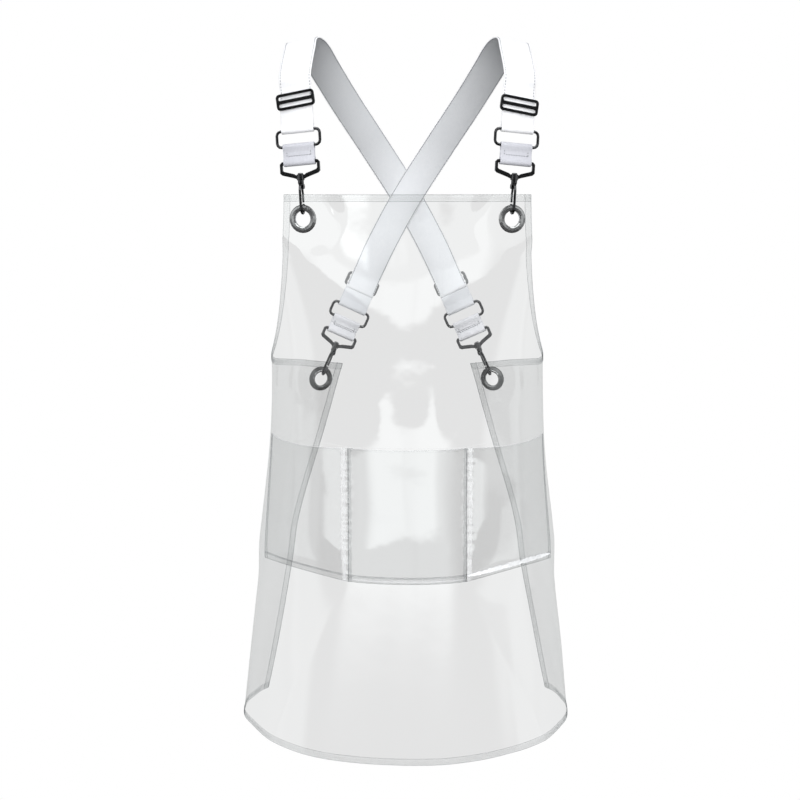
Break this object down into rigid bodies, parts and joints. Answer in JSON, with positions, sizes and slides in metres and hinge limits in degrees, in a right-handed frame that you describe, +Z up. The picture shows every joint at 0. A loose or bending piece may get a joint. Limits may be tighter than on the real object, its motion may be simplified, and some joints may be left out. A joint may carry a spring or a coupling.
{
  "type": "clear cross-back salon apron",
  "caption": "Clear film salon apron with a three-part front pocket, corner eyelets and crossed webbing straps that clip on with swivel hooks and adjust with sliders.",
  "frame": {"origin": "Between the shoulders, at the height where the straps rest on them.", "axes": "+X to the wearer's left, -Y ahead of the wearer, +Z up."},
  "size_m": [0.4264, 0.262, 0.8411],
  "materials": {
    "film": "clear glossy flexible film",
    "webbing": "white woven webbing",
    "gunmetal": "polished dark gunmetal plate",
    "eyelet_metal": "polished grey gunmetal plate",
    "spring_steel": "plain spring steel"
  },
  "bodies": {
    "straps": {"strap_right_shoulder": "webbing", "strap_left_shoulder": "webbing"},
    "apron": {"apron_panel": "film", "pocket": "film", "eyelet_front_right": "eyelet_metal", "washer_front_right": "eyelet_metal", "eyelet_front_left": "eyelet_metal", "washer_front_left": "eyelet_metal", "eyelet_back_right": "eyelet_metal", "washer_back_right": "eyelet_metal", "eyelet_back_left": "eyelet_metal", "washer_back_left": "eyelet_metal"},
    "clip_front_right": {"swivel_frame_front_right": "gunmetal", "tab_front_right": "webbing", "ring_front_right": "gunmetal", "strap_end_front_right": "webbing"},
    "slide_front_right": {"slider_front_right": "gunmetal"},
    "hook_body_front_right": {"hook_front_right": "gunmetal", "gate_pin_front_right": "gunmetal", "gate_spring_front_right": "spring_steel"},
    "gate_body_front_right": {"gate_front_right": "gunmetal"},
    "clip_front_left": {"swivel_frame_front_left": "gunmetal", "tab_front_left": "webbing", "ring_front_left": "gunmetal", "strap_end_front_left": "webbing"},
    "slide_front_left": {"slider_front_left": "gunmetal"},
    "hook_body_front_left": {"hook_front_left": "gunmetal", "gate_pin_front_left": "gunmetal", "gate_spring_front_left": "spring_steel"},
    "gate_body_front_left": {"gate_front_left": "gunmetal"},
    "clip_back_right": {"swivel_frame_back_right": "gunmetal", "tab_back_right": "webbing", "ring_back_right": "gunmetal", "strap_end_back_right": "webbing"},
    "slide_back_right": {"slider_back_right": "gunmetal"},
    "hook_body_back_right": {"hook_back_right": "gunmetal", "gate_pin_back_right": "gunmetal", "gate_spring_back_right": "spring_steel"},
    "gate_body_back_right": {"gate_back_right": "gunmetal"},
    "clip_back_left": {"swivel_frame_back_left": "gunmetal", "tab_back_left": "webbing", "ring_back_left": "gunmetal", "strap_end_back_left": "webbing"},
    "slide_back_left": {"slider_back_left": "gunmetal"},
    "hook_body_back_left": {"hook_back_left": "gunmetal", "gate_pin_back_left": "gunmetal", "gate_spring_back_left": "spring_steel"},
    "gate_body_back_left": {"gate_back_left": "gunmetal"}
  },
  "joints": [
    {"name": "apron_height", "type": "slide", "parent": "straps", "child": "apron", "axis": [0, 0, 1], "range_m": [-0.012, 0.02]},
    {"name": "clip_height_front_right", "type": "slide", "parent": "straps", "child": "clip_front_right", "axis": [0, 0, 1], "range_m": [-0.012, 0.02], "deforming": ["strap_end_front_right"]},
    {"name": "slider_travel_front_right", "type": "slide", "parent": "straps", "child": "slide_front_right", "axis": [-0.0564, 0.1564, 0.9861], "range_m": [-0.024, 0.04]},
    {"name": "hook_swivel_front_right", "type": "hinge", "parent": "clip_front_right", "child": "hook_body_front_right", "pos_m": [-0.12104, -0.07927, -0.16011], "axis": [-0.0564, 0.1564, 0.9861], "range_deg": [-18, 18]},
    {"name": "gate_front_right_opens", "type": "hinge", "parent": "hook_body_front_right", "child": "gate_body_front_right", "pos_m": [-0.11991, -0.07705, -0.1673], "axis": [-0.9743, 0.2071, -0.0885], "range_deg": [0, 14], "stiffness_Nm_per_rad": 0.002, "springref_deg": -17.19, "deforming": ["gate_spring_front_right"]},
    {"name": "clip_height_front_left", "type": "slide", "parent": "straps", "child": "clip_front_left", "axis": [0, 0, 1], "range_m": [-0.012, 0.02], "deforming": ["strap_end_front_left"]},
    {"name": "slider_travel_front_left", "type": "slide", "parent": "straps", "child": "slide_front_left", "axis": [0.0564, 0.1564, 0.9861], "range_m": [-0.024, 0.04]},
    {"name": "hook_swivel_front_left", "type": "hinge", "parent": "clip_front_left", "child": "hook_body_front_left", "pos_m": [0.12104, -0.07927, -0.16011], "axis": [0.0564, 0.1564, 0.9861], "range_deg": [-18, 18]},
    {"name": "gate_front_left_opens", "type": "hinge", "parent": "hook_body_front_left", "child": "gate_body_front_left", "pos_m": [0.11991, -0.07705, -0.1673], "axis": [-0.9743, -0.2071, 0.0885], "range_deg": [0, 14], "stiffness_Nm_per_rad": 0.002, "springref_deg": -17.19, "deforming": ["gate_spring_front_left"]},
    {"name": "clip_height_back_right", "type": "slide", "parent": "straps", "child": "clip_back_right", "axis": [0, 0, 1], "range_m": [-0.012, 0.02], "deforming": ["strap_end_back_right"]},
    {"name": "slider_travel_back_right", "type": "slide", "parent": "straps", "child": "slide_back_right", "axis": [0.4055, 0.1249, 0.9055], "range_m": [-0.024, 0.04]},
    {"name": "hook_swivel_back_right", "type": "hinge", "parent": "clip_back_right", "child": "hook_body_back_right", "pos_m": [-0.09335, 0.08731, -0.37416], "axis": [0.4055, 0.1249, 0.9055], "range_deg": [-18, 18]},
    {"name": "gate_back_right_opens", "type": "hinge", "parent": "hook_body_back_right", "child": "gate_body_back_right", "pos_m": [-0.0952, 0.08318, -0.38027], "axis": [0.8748, 0.2344, -0.4241], "range_deg": [0, 14], "stiffness_Nm_per_rad": 0.002, "springref_deg": -17.19, "deforming": ["gate_spring_back_right"]},
    {"name": "clip_height_back_left", "type": "slide", "parent": "straps", "child": "clip_back_left", "axis": [0, 0, 1], "range_m": [-0.012, 0.02], "deforming": ["strap_end_back_left"]},
    {"name": "slider_travel_back_left", "type": "slide", "parent": "straps", "child": "slide_back_left", "axis": [-0.4055, 0.1249, 0.9055], "range_m": [-0.024, 0.04]},
    {"name": "hook_swivel_back_left", "type": "hinge", "parent": "clip_back_left", "child": "hook_body_back_left", "pos_m": [0.09335, 0.08731, -0.37416], "axis": [-0.4055, 0.1249, 0.9055], "range_deg": [-18, 18]},
    {"name": "gate_back_left_opens", "type": "hinge", "parent": "hook_body_back_left", "child": "gate_body_back_left", "pos_m": [0.0952, 0.08318, -0.38027], "axis": [0.8748, -0.2344, 0.4241], "range_deg": [0, 14], "stiffness_Nm_per_rad": 0.002, "springref_deg": -17.19, "deforming": ["gate_spring_back_left"]}
  ],
  "couplings": [
    {"joint": "clip_height_front_right", "follows": "apron_height", "ratio": 1},
    {"joint": "slider_travel_front_right", "follows": "apron_height", "ratio": 2},
    {"joint": "clip_height_front_left", "follows": "apron_height", "ratio": 1},
    {"joint": "slider_travel_front_left", "follows": "apron_height", "ratio": 2},
    {"joint": "clip_height_back_right", "follows": "apron_height", "ratio": 1},
    {"joint": "slider_travel_back_right", "follows": "apron_height", "ratio": 2},
    {"joint": "clip_height_back_left", "follows": "apron_height", "ratio": 1},
    {"joint": "slider_travel_back_left", "follows": "apron_height", "ratio": 2}
  ]
}
